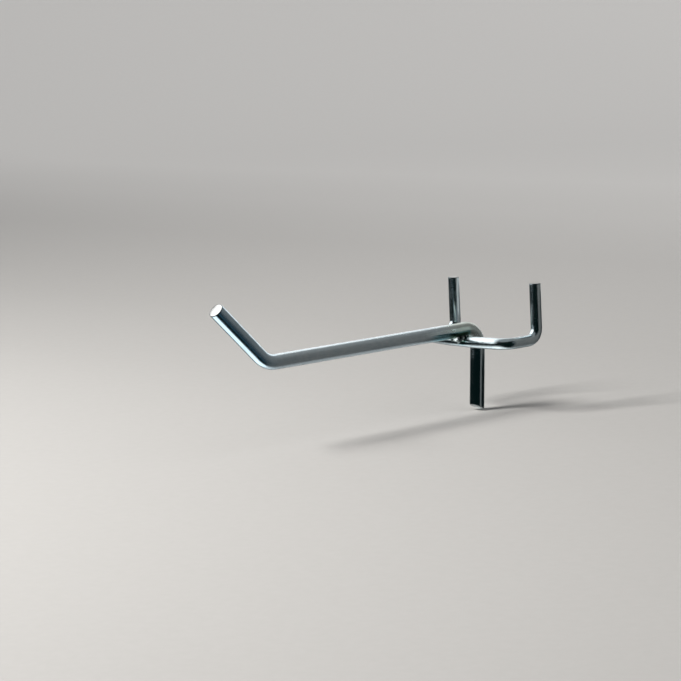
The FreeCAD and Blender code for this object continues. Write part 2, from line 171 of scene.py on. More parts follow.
# ------------------------------------------------------------ swept wires
class Wire:
    """A bent round wire as one closed mesh: a long tube and two end faces."""

    def __init__(self, name, line, radius, around, ends, relief):
        self.name, self.radius, self.around = name, radius, around
        place, frames, s, kappa, inward = line
        self.s_total = s[-1]
        nt = around
        theta = np.arange(nt) * 2 * math.pi / nt
        T, B, N = frames[:, 0], frames[:, 1], frames[:, 2]
        e = np.cos(theta)[None, :, None] * B[:, None, :] + np.sin(theta)[None, :, None] * N[:, None, :]
        toward = (e * inward[:, None, :]).sum(2)  # 1 on the inside of a bend, -1 on the outside
        soft = blur(kappa, 9)[:, None]
        tight = soft * radius
        # A bent wire draws in a little on the outside of its bend.
        oval = -0.16 * tight ** 1.5 * np.clip(-toward, 0, 1) ** 2 * radius * 0.35
        S = np.repeat(s[:, None], nt, 1)
        R = radius + oval + relief(S, theta[None, :] + 0 * S, tight)
        self.rings = place[:, None, :] + e * R[:, :, None]
        self.S, self.TH = S, theta[None, :] + 0 * S
        self.place, self.T, self.e, self.R = place, T, e, R
        self.tight = tight + 0 * S
        self.ends = ends

    def build(self):
        nt, r0 = self.around, self.radius
        rings, wires = [self.rings], [np.stack([self.radius * np.cos(self.TH), self.radius * np.sin(self.TH), self.S], 2)]
        verts = self.rings.copy()
        # Each end: the tube's last stretch is squeezed or stretched along each line of the
        # surface, so that it ends on the cutting plane, and the face follows in rings.
        caps = []
        for which, end in zip((0, -1), self.ends):
            T = self.T[which] * (1 if which == -1 else -1)  # outward along the wire
            centre = self.place[which] + T * end["past"]
            n = np.array(end["normal"], float)
            n /= np.linalg.norm(n)
            brk = end["break"]  # edge break's size for each angle, mm
            th = self.TH[0]
            size = brk(th)
            inner = self.R[which] - size
            edge = self.place[which] + self.e[which] * self.R[which][:, None]
            reach = ((centre - edge) @ n) / (T @ n) - size * 0.9  # to the start of the break
            back = end["back"]
            rows = np.where(np.abs(self.S[:, 0] - self.S[which, 0]) < back)[0]
            w = 1 - np.abs(self.S[rows, 0] - self.S[which, 0]) / back
            verts[rows] += (w[:, None, None] * reach[None, :, None]) * T[None, None, :]
            ring_list, coord_list = [], []
            steps = 6
            for k in range(1, steps + 1):
                a = k / steps * math.pi / 2
                rad = inner + size * math.cos(a)
                up = size * 0.9 * math.sin(a)
                pts = self.place[which] + self.e[which] * rad[:, None] + T[None] * (reach + up)[:, None]
                # keep the oblique plane under smaller radii
                if k == steps:
                    q = self.place[which] + self.e[which] * rad[:, None]
                    pts = q + T[None] * (((centre - q) @ n) / (T @ n))[:, None]
                ring_list.append(pts)
                coord_list.append(np.stack([rad * np.cos(th), rad * np.sin(th), self.S[which]], 1))
            for f in end["rings"]:
                rad = inner * f
                q = self.place[which] + self.e[which] * rad[:, None]
                flat = q + T[None] * (((centre - q) @ n) / (T @ n))[:, None]
                flat = flat + n[None] * end["relief"](rad * np.cos(th), rad * np.sin(th), f)[:, None]
                ring_list.append(flat)
                coord_list.append(np.stack([rad * np.cos(th), rad * np.sin(th), self.S[which]], 1))
            hub = centre + n * float(end["relief"](np.zeros(1), np.zeros(1), 0.0)[0])
            caps.append((ring_list, coord_list, hub))
        ns = verts.shape[0]
        allv = [verts.reshape(-1, 3)]
        coords = [wires[0].reshape(-1, 3)]
        faces, uvs = [], []
        idx = np.arange(ns * nt).reshape(ns, nt)
        nxt = np.roll(idx, -1, 1)
        quad = np.stack([idx[:-1], nxt[:-1], nxt[1:], idx[1:]], 2)  # outward
        circ = 2 * math.pi * r0
        strips = 3
        per = self.s_total / strips
        scale = 1.0 / (max(strips * (circ + 0.8), per + 3 * r0 + 2.0))
        s_mid = (self.S[:-1, 0] + self.S[1:, 0]) / 2
        strip = np.minimum((s_mid / per).astype(int), strips - 1)
        u0 = (strip * (circ + 0.8) + 0.4) * scale
        col = np.arange(nt)
        uL, uR = col * circ / nt * scale, (col + 1) * circ / nt * scale
        v0 = (self.S[:-1, 0] - strip * per + 0.3) * scale
        v1 = (self.S[1:, 0] - strip * per + 0.3) * scale
        uv = np.zeros((ns - 1, nt, 4, 2))
        uv[:, :, 0, 0] = uv[:, :, 3, 0] = u0[:, None] + uL[None]
        uv[:, :, 1, 0] = uv[:, :, 2, 0] = u0[:, None] + uR[None]
        uv[:, :, 0, 1] = uv[:, :, 1, 1] = v0[:, None]
        uv[:, :, 2, 1] = uv[:, :, 3, 1] = v1[:, None]
        faces.append(quad.reshape(-1, 4))
        uvs.append(uv.reshape(-1, 2))
        offset = ns * nt
        tris, tri_uv = [], []
        for c, (ring_list, coord_list, hub) in enumerate(caps):
            prev = idx[0] if c == 0 else idx[-1]
            mid = np.array([(0.5 + (c * 2 - 0.5) * (2 * r0 + 1)) * scale + r0 * scale, (per + 1.2 + r0) * scale])
            prev_uv = mid + np.stack([np.cos(self.TH[0]), np.sin(self.TH[0])], 1) * r0 * 1.08 * scale
            for pts, co in zip(ring_list, coord_list):
                cur = np.arange(offset, offset + nt)
                offset += nt
                allv.append(pts)
                coords.append(co)
                cur_uv = mid + co[:, :2] * scale
                a, b = prev, np.roll(prev, -1)
                d, g = cur, np.roll(cur, -1)
                au, bu, du, gu = prev_uv, np.roll(prev_uv, -1, 0), cur_uv, np.roll(cur_uv, -1, 0)
                if c == 0:
                    faces.append(np.stack([d, g, b, a], 1))
                    uvs.append(np.stack([du, gu, bu, au], 1).reshape(-1, 2))
                else:
                    faces.append(np.stack([a, b, g, d], 1))
                    uvs.append(np.stack([au, bu, gu, du], 1).reshape(-1, 2))
                prev, prev_uv = cur, cur_uv
            allv.append(hub[None])
            coords.append(np.array([[0, 0, self.S[0, 0] if c == 0 else self.S[-1, 0]]]))
            h = np.full(nt, offset)
            offset += 1
            hu = np.repeat(mid[None], nt, 0)
            a, b = prev, np.roll(prev, -1)
            au, bu = prev_uv, np.roll(prev_uv, -1, 0)
            if c == 0:
                tris.append(np.stack([h, b, a], 1))
                tri_uv.append(np.stack([hu, bu, au], 1).reshape(-1, 2))
            else:
                tris.append(np.stack([a, b, h], 1))
                tri_uv.append(np.stack([au, bu, hu], 1).reshape(-1, 2))
        self.verts = np.concatenate(allv)
        self.coords = np.concatenate(coords)
        self.quads, self.tris = np.concatenate(faces), np.concatenate(tris)
        self.uv = np.concatenate(uvs + tri_uv)
        return self


def make_mesh(name, verts, quads, tris, uv=None, attributes=None):
    me = bpy.data.meshes.new(name)
    me.vertices.add(len(verts))
    me.vertices.foreach_set("co", (verts * MM).astype(np.float32).ravel())
    loops = np.concatenate([np.asarray(quads).ravel(), np.asarray(tris).ravel()]).astype(np.int32)
    me.loops.add(len(loops))
    me.loops.foreach_set("vertex_index", loops)
    nq, nt = len(quads), len(tris)
    starts = np.concatenate([np.arange(nq) * 4, nq * 4 + np.arange(nt) * 3]).astype(np.int32)
    me.polygons.add(nq + nt)
    me.polygons.foreach_set("loop_start", starts)
    if uv is not None:
        layer = me.uv_layers.new(name="OFBake")
        layer.uv.foreach_set("vector", uv.astype(np.float32).ravel())
    for key, values in (attributes or {}).items():
        values = np.asarray(values, np.float32)
        kind, field = ("FLOAT_VECTOR", "vector") if values.ndim == 2 else ("FLOAT", "value")
        me.attributes.new(key, kind, "POINT").data.foreach_set(field, values.ravel())
    me.update(calc_edges=True)
    me.validate()
    me.polygons.foreach_set("use_smooth", np.ones(len(me.polygons), bool))
    ob = bpy.data.objects.new(name, me)
    scene.collection.objects.link(ob)
    return ob


# -------------------------------------------------------------- the arm
lean, rise = math.radians(LEAN), math.radians(TIP_RISE)
t_rear = REAR_BEND * math.tan((math.pi / 2 + lean) / 2)
t_front = FRONT_BEND * math.tan(rise / 2)
foot = np.array([0, -REAR_V - (ARM_Z + DROP) * math.tan(lean), -DROP])
leg_len = (ARM_Z + DROP) / math.cos(lean) - t_rear
arm_len = FRONT_V - t_front - REAR_V - t_rear
tip_len = TIP_LEN - t_front
arm_line = centreline(
    foot, (0, math.sin(lean), math.cos(lean)), (1, 0, 0),
    [("line", leg_len), ("arc", REAR_BEND, (1, 0, 0), 90 + LEAN), ("line", arm_len),
     ("arc", FRONT_BEND, (1, 0, 0), -TIP_RISE), ("line", tip_len)], 0.23)
S_REAR0 = leg_len
S_ARM0 = leg_len + REAR_BEND * math.radians(90 + LEAN)
S_ARM1 = S_ARM0 + arm_len
S_TIP0 = S_ARM1 + FRONT_BEND * rise


def s_of_y(y):
    """Length along the arm's straight stretch at a given depth."""
    return S_ARM0 + (-(REAR_V + t_rear) - y)


wave, grain, dents = Noise(11), Noise(12), Noise(13)
NICKS = [  # length, angle in degrees, half length, half width in degrees, depth: small knocks in mm
    (s_of_y(-92.0), 32.0, 0.36, 25.0, 0.055),
    (s_of_y(-90.8), 12.0, 0.32, 9.0, 0.045),
    (s_of_y(-61.0), 74.0, 0.5, 6.0, 0.03),
    (s_of_y(-104.0), -22.0, 0.6, 7.0, 0.03),
    (s_of_y(-33.5), 205.0, 0.8, 8.0, 0.04),
    (14.0, 150.0, 0.7, 8.0, 0.035),
]


def arm_relief(S, TH, tight):
    c, d = np.cos(TH), np.sin(TH)
    out = 0.012 * wave(c * 0.8 + 5, d * 0.8 + 5, S * 0.05) + 0.006 * fbm(grain, c * 5 + 9, d * 5 + 9, S * 0.09, 2)
    out = out - 0.02
    for s0, deg, hl, hw, depth in NICKS:
        da = np.degrees(np.angle(np.exp(1j * (TH - math.radians(deg)))))
        q = ((S - s0) / hl) ** 2 + (da / hw) ** 2
        out = out - depth * np.exp(-q * 1.6) + depth * 0.28 * np.exp(-((np.sqrt(q) - 1.5) / 0.45) ** 2)
    # faint flats where the bending dies pressed, on the inside of each bend's ends
    for s0, deg in ((S_REAR0 - 1.5, -90), (S_ARM0 + 1.5, -90), (S_ARM1 - 2.0, 90), (S_TIP0 + 2.0, 90)):
        da = np.degrees(np.angle(np.exp(1j * (TH - math.radians(deg)))))
        out = out - 0.03 * np.exp(-((S - s0) / 2.6) ** 4) * np.clip(np.cos(np.radians(da * 1.6)), 0, 1) ** 2 * (np.abs(da) < 56)
    # skin roughened by the tight bend
    out = out + 0.010 * np.clip(tight, 0, 0.5) * fbm(dents, c * 9, d * 9, S * 2.2, 3)
    return np.minimum(out, 0.0)


def shear_relief(scale, seed):
    n = Noise(seed)

    def f(x, y, share):
        """Height of a sheared face: a dished first bite, then a torn part with ridges."""
        x, y = np.asarray(x, float), np.asarray(y, float)
        torn = 1 / (1 + np.exp(-(y + 0.35 * x - 0.1) * 2.2))
        ridge = fbm(n, x * 1.4 + 3, y * 3.6 + 3, 0 * x + 1.5, 3)
        return scale * (-0.055 - 0.05 * torn + 0.045 * ridge * torn + 0.018 * (1 - torn) * fbm(n, x * 0.6 + 8, y * 4.5 + 8, 0 * x, 2)) * (1 if share > 0 else 1)

    return f


FACE_RINGS = [0.985, 0.955, 0.915, 0.87, 0.82, 0.765, 0.705, 0.64, 0.57, 0.495, 0.415, 0.33, 0.24, 0.15, 0.07]
cut = math.radians(CUT)
arm_ends = [
    {"past": -0.16, "normal": (0, -math.sin(cut), -math.cos(cut)), "back": 9.0, "rings": FACE_RINGS,
     "break": lambda th: 0.30 + 0.14 * np.cos(th - 0.6) + 0.05 * np.cos(3 * th + 1), "relief": shear_relief(1.3, 31)},
    {"past": -0.18, "normal": (0, -math.cos(rise), math.sin(rise)), "back": 4.0, "rings": FACE_RINGS,
     "break": lambda th: 0.23 + 0.145 * np.cos(th + 0.45) + 0.03 * np.cos(5 * th), "relief": shear_relief(0.8, 32)},
]
arm_wire = Wire("arm_rod_visual", arm_line, ARM_R, 92, arm_ends, arm_relief).build()

# ------------------------------------------------------------- the fork
bow = math.asin((HX - CORNER) / (BOW_R - CORNER))
CY = BOW_R - DEPTH
yc = CY - (BOW_R - CORNER) * math.cos(bow)
prong = BEHIND - UP_BEND - yc
turn = 90 - math.degrees(bow)
up_len = UP_TOP - UP_BEND
fork_line = centreline(
    (-HX, BEHIND, UP_TOP), (0, 0, -1), (1, 0, 0),
    [("line", up_len), ("arc", UP_BEND, (1, 0, 0), -90), ("line", prong), ("arc", CORNER, (0, 0, 1), turn),
     ("arc", BOW_R, (0, 0, 1), 2 * math.degrees(bow)), ("arc", CORNER, (0, 0, 1), turn), ("line", prong),
     ("arc", UP_BEND, (1, 0, 0), 90), ("line", up_len)], 0.22)
S_MID = fork_line[2][-1] / 2


def fork_relief(S, TH, tight):
    c, d = np.cos(TH), np.sin(TH)
    out = 0.010 * wave(c * 0.7 + 15, d * 0.7 + 2, S * 0.06) + 0.005 * fbm(grain, c * 4 + 1, d * 4 + 3, S * 0.1, 2) - 0.016
    out = out + 0.010 * np.clip(tight, 0, 0.5) * fbm(dents, c * 7 + 4, d * 7 + 4, S * 2.0, 3)
    for s0, deg, hl, hw, depth in ((S_MID + 13.0, 150.0, 0.7, 10.0, 0.03), (S_MID - 17.0, 40.0, 0.6, 9.0, 0.03)):
        da = np.degrees(np.angle(np.exp(1j * (TH - math.radians(deg)))))
        out = out - depth * np.exp(-(((S - s0) / hl) ** 2 + (da / hw) ** 2) * 1.6)
    return np.minimum(out, 0.0)


fork_ends = [
    {"past": -0.10, "normal": (0.03, 0.02, 1), "back": 4.0, "rings": FACE_RINGS,
     "break": lambda th: 0.34 + 0.08 * np.cos(th + 0.4), "relief": shear_relief(0.8, 33)},
    {"past": -0.10, "normal": (-0.02, 0.03, 1), "back": 4.0, "rings": FACE_RINGS,
     "break": lambda th: 0.34 + 0.08 * np.cos(th - 2.0), "relief": shear_relief(0.8, 34)},
]
fork_wire = Wire("wall_fork_visual", fork_line, FORK_R, 76, fork_ends, fork_relief).build()


# ------------------------------------------------- distances to both wires
def arm_distance(p):
    """Signed distance in mm to the arm's surface near the crossing."""
    x, y, z = p[..., 0], p[..., 1], p[..., 2]
    y_bend = -(REAR_V + t_rear)
    rho = np.hypot(y - y_bend, z - (ARM_Z - REAR_BEND))
    return np.where(y < y_bend, np.hypot(x, z - ARM_Z), np.hypot(x, rho - REAR_BEND)) - ARM_R


def fork_distance(p):
    x, y, z = p[..., 0], p[..., 1], p[..., 2]
    return np.hypot(np.hypot(x, y - CY) - BOW_R, z) - FORK_R


# The arm sits in a saddle in the crosspiece: what lies inside the arm is drawn
# back to the arm's surface.
v = fork_wire.verts
near = (np.abs(v[:, 0]) < 6) & (v[:, 1] < -8)
d = arm_distance(v[near]) + 0.03
q = v[near]
radial = np.stack([q[:, 0], 0 * q[:, 0], q[:, 2] - ARM_Z], 1)
radial /= np.maximum(np.linalg.norm(radial, axis=1, keepdims=True), 1e-9)
q = q - radial * np.minimum(d, 0)[:, None]
v[near] = q


# ---------------------------------------------------------- weld metal
def surface_nets(field, origin, cell):
    """Closed surface of field < 0 as quads, one vertex in each crossed cell."""
    inside = field < 0
    corner = [inside[i:inside.shape[0] - 1 + i, j:inside.shape[1] - 1 + j, k:inside.shape[2] - 1 + k]
              for i in (0, 1) for j in (0, 1) for k in (0, 1)]
    total = sum(c.astype(np.int8) for c in corner)
    live = (total > 0) & (total < 8)
    index = -np.ones(live.shape, np.int64)
    index[live] = np.arange(live.sum())
    ijk = np.argwhere(live)
    acc, cnt = np.zeros((len(ijk), 3)), np.zeros(len(ijk))
    offs = [(i, j, k) for i in (0, 1) for j in (0, 1) for k in (0, 1)]
    for a in range(8):
        for b in range(a + 1, 8):
            if sum(abs(np.array(offs[a]) - np.array(offs[b]))) != 1:
                continue
            va = field[ijk[:, 0] + offs[a][0], ijk[:, 1] + offs[a][1], ijk[:, 2] + offs[a][2]]
            vb = field[ijk[:, 0] + offs[b][0], ijk[:, 1] + offs[b][1], ijk[:, 2] + offs[b][2]]
            cross = (va < 0) != (vb < 0)
            t = np.where(cross, va / np.where(cross, va - vb, 1), 0)
            pt = np.array(offs[a]) + t[:, None] * (np.array(offs[b]) - np.array(offs[a]))
            acc[cross] += pt[cross]
            cnt[cross] += 1
    verts = origin + (ijk + acc / cnt[:, None]) * cell
    quads = []
    for ax in range(3):
        o1, o2 = [(1, 2), (2, 0), (0, 1)][ax]
        sl_a = [slice(1, -1)] * 3
        sl_b = [slice(1, -1)] * 3
        sl_a[ax], sl_b[ax] = slice(0, -1), slice(1, None)
        ia, ib = inside[tuple(sl_a)], inside[tuple(sl_b)]
        for enter in (True, False):
            hit = np.argwhere((ia == enter) & (ib == (not enter)))
            g = hit + 1
            g[:, ax] -= 1
            if not len(g):
                continue
            e1, e2 = np.zeros(3, int), np.zeros(3, int)
            e1[o1], e2[o2] = 1, 1
            c = [g - e1 - e2, g - e2, g, g - e1]
            ids = np.stack([index[x[:, 0], x[:, 1], x[:, 2]] for x in c], 1)
            quads.append(ids if enter else ids[:, ::-1])
    return verts, np.concatenate(quads)


cell = 0.085
lo, hi = np.array([-5.2, -21.2, -1.4]), np.array([5.2, -11.6, 4.2])
dims = np.ceil((hi - lo) / cell).astype(int) + 1
gx, gy, gz = np.meshgrid(*[lo[i] + np.arange(dims[i]) * cell for i in range(3)], indexing="ij")
P = np.stack([gx, gy, gz], 3)
da, df = arm_distance(P), fork_distance(P)
lump_noise, pit_noise = Noise(41), Noise(42)
k = 3.1 + 0.5 * lump_noise(gx * 0.45, gy * 0.45, gz * 0.45)
h = np.clip(0.5 + 0.5 * (df - da) / k, 0, 1)
weld = df * (1 - h) + da * h - k * h * (1 - h)
weld = weld + 0.16 * fbm(lump_noise, gx * 0.75 + 4, gy * 0.75 + 9, gz * 0.75 + 2, 3)
# squeezed-out beads and droplets, and the pits between them
BRIGHT = [(1.26, -19.85, 1.75, 1.30), (1.2, -18.6, -0.1, 0.55), (3.55, -17.6, 1.15, 0.90)]
DULL = [(2.9, -17.2, 1.9, 0.62), (3.6, -16.4, 2.55, 0.55), (1.5, -18.5, 1.1, 0.8), (-2.2, -18.9, 1.0, 0.9), (-3.3, -16.9, 2.2, 0.6),
        (-2.9, -14.4, 2.0, 0.65), (2.9, -14.2, 2.1, 0.55), (0.3, -13.4, 0.9, 0.7), (4.0, -15.3, 2.6, 0.35), (2.1, -18.4, 0.25, 0.55)]
PITS = [(2.05, -20.15, 0.75, 0.50), (2.75, -19.9, 1.45, 0.50), (-1.5, -20.7, 0.8, 1.45), (2.6, -18.45, 2.15, 0.50), (2.45, -18.75, -0.05, 0.34),
        (0.2, -20.3, 0.45, 0.28), (3.1, -18.5, 0.55, 0.40), (-0.3, -20.6, 1.2, 0.30), (3.4, -17.2, 0.7, 0.35),
        (-2.3, -19.7, 0.9, 0.45), (-3.0, -17.8, 1.2, 0.4), (1.5, -13.6, 1.4, 0.4)]
# nothing beyond the weld's own reach
shell = (np.sqrt((gx / 4.05) ** 2 + ((gy + 16.4) / 4.25) ** 2 + ((gz - 1.35) / 1.75) ** 2) - 1) * 1.8
hh = np.clip(0.5 - 0.5 * (shell - weld) / 0.5, 0, 1)
weld = shell * (1 - hh) + weld * hh + 0.5 * hh * (1 - hh)
for bx, by, bz, br in BRIGHT + DULL:
    ball = np.sqrt((gx - bx) ** 2 + (gy - by) ** 2 + (gz - bz) ** 2) - br
    hh = np.clip(0.5 + 0.5 * (ball - weld) / 0.35, 0, 1)
    weld = ball * (1 - hh) + weld * hh - 0.35 * hh * (1 - hh)
for bx, by, bz, br in PITS:
    ball = br - np.sqrt((gx - bx) ** 2 + (gy - by) ** 2 + (gz - bz) ** 2)
    hh = np.clip(0.5 - 0.5 * (ball - weld) / 0.12, 0, 1)
    weld = ball * (1 - hh) + weld * hh + 0.12 * hh * (1 - hh)
facet = np.array([0.40, -0.83, -0.395])  # a bright flat on the largest bead, facing forward and down
facet /= np.linalg.norm(facet)
on_flat = (P - np.array(BRIGHT[0][:3])) @ facet - 0.62
weld = np.where(np.linalg.norm(P - np.array(BRIGHT[0][:3]), axis=3) < 1.9, np.maximum(weld, on_flat), weld)
weld = np.maximum(weld, np.maximum(-(da + 0.06), -(df + 0.06)))
weld[0], weld[-1], weld[:, 0], weld[:, -1], weld[:, :, 0], weld[:, :, -1] = 1, 1, 1, 1, 1, 1
wv, wq = surface_nets(weld, lo, cell)
# keep the one connected collar and drop crumbs
parent = np.arange(len(wv))
for _ in range(60):
    m = parent[wq].min(1)
    new = parent.copy()
    for c in range(4):
        np.minimum.at(new, wq[:, c], m)
    new = new[new]
    if (new == parent).all():
        break
    parent = new
labels, counts = np.unique(parent, return_counts=True)
main = labels[counts.argmax()]
keep = parent == main
remap = np.cumsum(keep) - 1
wq = remap[wq[keep[wq].all(1)]]
wv = wv[keep]
wv = np.clip(wv, [-4.16, -20.79, -0.565], [4.16, -12.01, 3.1])


def near_any(points, balls, reach):
    """1 close to any of the balls, falling to 0 outside them."""
    out = np.zeros(len(points))
    for bx, by, bz, br in balls:
        r = np.linalg.norm(points - np.array([bx, by, bz]), axis=1) / (br * reach)
        out = np.maximum(out, np.exp(-r ** 6))
    return out


weld_pits = np.clip(fbm(pit_noise, wv[:, 0] * 1.3, wv[:, 1] * 1.3, wv[:, 2] * 1.3, 3) * 1.6 + 0.25, 0, 1)
# painted shade: the pit hollows get the darkest colour
weld_pits = np.maximum(0.8 * weld_pits, near_any(wv, PITS, 1.15))
# painted highlight: the bright beads get a lighter colour where they glint, and a smoother finish
weld_knobs = near_any(wv, BRIGHT, 1.12) * (1 - near_any(wv, PITS, 1.05))


# ------------------------------------------------------- surface attributes
def heat_of(p, centre=(0.6, -16.2, 1.6)):
    r = np.linalg.norm((p - np.array(centre)) / np.array([1.0, 1.15, 1.0]), axis=1)
    n = fbm(wave, p[:, 0] * 0.35 + 2, p[:, 1] * 0.35 + 2, p[:, 2] * 0.35 + 2, 3)
    return np.clip(np.exp(-((r - 1.6).clip(0) / (3.6 + 1.2 * n)) ** 2), 0, 1)


def matte_of(wire, s0, s1, soft):
    s = wire.coords[:, 2]
    return np.clip((s - s0) / soft + 0.5, 0, 1) * np.clip((s1 - s) / soft + 0.5, 0, 1)


def face_mask(wire, count):
    """1 on the end faces, 0 along the tube."""
    m = np.zeros(len(wire.verts), np.float32)
    m[count:] = 1
    return m


def cut_rims(wire):
    """1 along the rolled edge round each end face, fading to both sides."""
    n_tube = wire.rings.shape[0] * wire.around
    m = np.zeros(len(wire.verts), np.float32)
    per_cap = (6 + len(FACE_RINGS)) * wire.around + 1
    for c in (0, 1):
        a = n_tube + c * per_cap
        m[a:a + 7 * wire.around] = np.repeat([0.6, 0.9, 1, 1, 0.9, 0.6, 0.25], wire.around)
    return m


def cut_faces(wire):
    n_tube = wire.rings.shape[0] * wire.around
    m = face_mask(wire, n_tube)
    per_cap = (6 + len(FACE_RINGS)) * wire.around + 1
    for c in (0, 1):
        a = n_tube + c * per_cap
        m[a:a + 5 * wire.around] = np.repeat(np.linspace(0.0, 0.55, 5), wire.around)
    return m


def under_side(wire, top, bottom, soft, y0, y1, soft_y):
    """1 on both flanks of the arm between two angles below the horizontal and two depths."""
    c = wire.coords
    tilt = np.degrees(np.arctan2(c[:, 1], np.abs(c[:, 0])))
    n = fbm(wave, wire.verts[:, 0] * 0.5 + 7, wire.verts[:, 1] * 0.35 + 7, wire.verts[:, 2] * 0.5 + 7, 3)
    y = wire.verts[:, 1] + 2.0 * n
    tilt = tilt + 7 * n
    ease = lambda t: np.clip(t, 0, 1) ** 2 * (3 - 2 * np.clip(t, 0, 1))
    return (ease((top - tilt) / soft + 0.5) * ease((tilt - bottom) / soft + 0.5)
            * ease((y - y0) / soft_y + 0.5) * ease((y1 - y) / 3.0 + 0.5))


def fork_painted_shade(p):
    """Painted shade on the crosspiece, beside the crossing."""
    n = fbm(dents, p[:, 0] * 0.9, p[:, 1] * 0.9, p[:, 2] * 0.9, 3)
    x, z = p[:, 0] + 0.7 * n, p[:, 2] + 0.6 * n
    ease = lambda t: np.clip(t, 0, 1) ** 2 * (3 - 2 * np.clip(t, 0, 1))
    return 0.95 * ease((5.3 - x) / 0.9 + 0.5) * ease((x - 0.9) / 0.8 + 0.5) * ease((z + 0.9) / 0.8 + 0.5) * (p[:, 1] < -8)


arm_attr = {
    "grain": 0 * arm_wire.coords[:, 2],
    # painted shade: the colour of the arm's underside near the crossing is darkened, standing in for its dark
    # reflection of the shaded crosspiece and board
    "painted_shade": 0.45 * under_side(arm_wire, -1, -75, 5, -34.5, -13.5, 7) + 0.55 * under_side(arm_wire, -11, -60, 6, -24.5, -14.0, 4),
    # painted reflection: the colour of the arm's flanks just above its axis near the crossing is lightened, standing in
    # for the lit board they reflect
    "painted_reflection": under_side(arm_wire, 30, 0, 14, -36, -13.0, 12),
    "wire": arm_wire.coords * MM,
    "heat": heat_of(arm_wire.verts),
    "dull": matte_of(arm_wire, S_REAR0 + 3.0, S_ARM0 + 11.0, 13.0),
    "cut": cut_faces(arm_wire),
    "rim": cut_rims(arm_wire),
}
fork_attr = {
    "wire": (fork_wire.coords + np.array([20.0, 0, 300.0])) * MM,
    "heat": heat_of(fork_wire.verts),
    "dull": 0.15 + 0 * fork_wire.coords[:, 2],
    "grain": np.exp(-((np.abs(fork_wire.coords[:, 2] - S_MID) - 13.5) / 9.5) ** 4),
    "painted_shade": fork_painted_shade(fork_wire.verts),
    "painted_reflection": 0 * fork_wire.coords[:, 2],
    "cut": cut_faces(fork_wire),
    "rim": cut_rims(fork_wire),
}
arm_ob = make_mesh("arm_rod_visual", arm_wire.verts, arm_wire.quads, arm_wire.tris, arm_wire.uv, arm_attr)
fork_ob = make_mesh("wall_fork_visual", fork_wire.verts, fork_wire.quads, fork_wire.tris, fork_wire.uv, fork_attr)
weld_ob = make_mesh("weld_flash_visual", wv, wq, np.zeros((0, 3), int), None,
                    {"wire": wv * MM, "pits": weld_pits, "knobs": weld_knobs})
for ob, node, slot in ((arm_ob, "arm_rod", "zinc_wire"), (fork_ob, "wall_fork", "zinc_wire"),
                       (weld_ob, "weld_flash", "weld_metal")):
    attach(ob, "root")
    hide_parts(node)


# ------------------------------------------------------------- materials
class Nodes:
    def __init__(self, name):
        self.material = bpy.data.materials.new(name)
        self.material.use_nodes = True
        self.tree = self.material.node_tree
        self.tree.nodes.clear()
        self.out = self.add("ShaderNodeOutputMaterial")
        self.bsdf = self.add("ShaderNodeBsdfPrincipled")
        self.link(self.bsdf.outputs["BSDF"], self.out.inputs["Surface"])

    def add(self, kind, **settings):
        n = self.tree.nodes.new(kind)
        for key, value in settings.items():
            setattr(n, key, value)
        return n

    def link(self, a, b):
        self.tree.links.new(a, b)

    def put(self, value, socket):
        if isinstance(value, bpy.types.NodeSocket):
            self.link(value, socket)
        else:
            socket.default_value = value

    def attribute(self, name, output="Fac"):
        return self.add("ShaderNodeAttribute", attribute_name=name).outputs[output]

    def math(self, op, a, b=0.0, clamp=False):
        n = self.add("ShaderNodeMath", operation=op, use_clamp=clamp)
        self.put(a, n.inputs[0])
        self.put(b, n.inputs[1])
        return n.outputs[0]

    def stretch(self, vector, scale, shift=(0, 0, 0)):
        n = self.add("ShaderNodeMapping")
        n.inputs["Scale"].default_value = scale
        n.inputs["Location"].default_value = shift
        self.link(vector, n.inputs["Vector"])
        return n.outputs["Vector"]

    def noise(self, vector, scale, detail=3.0, rough=0.55, distortion=0.0):
        n = self.add("ShaderNodeTexNoise")
        n.inputs["Scale"].default_value = scale
        n.inputs["Detail"].default_value = detail
        n.inputs["Roughness"].default_value = rough
        n.inputs["Distortion"].default_value = distortion
        self.link(vector, n.inputs["Vector"])
        return n.outputs["Fac"]

    def cells(self, vector, scale, feature="F1"):
        n = self.add("ShaderNodeTexVoronoi", feature=feature)
        n.inputs["Scale"].default_value = scale
        self.link(vector, n.inputs["Vector"])
        return n.outputs["Distance"]

    def ramp(self, fac, stops, interpolation="LINEAR"):
        n = self.add("ShaderNodeValToRGB")
        n.color_ramp.interpolation = interpolation
        while len(n.color_ramp.elements) < len(stops):
            n.color_ramp.elements.new(0.5)
        for e, (pos, col) in zip(n.color_ramp.elements, stops):
            e.position = pos
            e.color = (*col, 1) if len(col) == 3 else col
        self.link(fac, n.inputs["Fac"])
        return n.outputs["Color"]

    def remap(self, value, a, b, c, d):
        n = self.add("ShaderNodeMapRange", clamp=True)
        self.put(value, n.inputs["Value"])
        for key, v in (("From Min", a), ("From Max", b), ("To Min", c), ("To Max", d)):
            n.inputs[key].default_value = v
        return n.outputs["Result"]

    def mix(self, fac, a, b, blend="MIX"):
        n = self.add("ShaderNodeMix", data_type="RGBA", blend_type=blend, clamp_factor=True)
        self.put(fac, n.inputs[0])
        for value, socket in ((a, n.inputs[6]), (b, n.inputs[7])):
            if not isinstance(value, bpy.types.NodeSocket):
                value = (*value, 1)
            self.put(value, socket)
        return n.outputs[2]

    def bump(self, height, distance, strength=1.0, normal=None):
        n = self.add("ShaderNodeBump")
        n.inputs["Strength"].default_value = strength
        n.inputs["Distance"].default_value = distance
        self.link(height, n.inputs["Height"])
        if normal is not None:
            self.link(normal, n.inputs["Normal"])
        return n.outputs["Normal"]


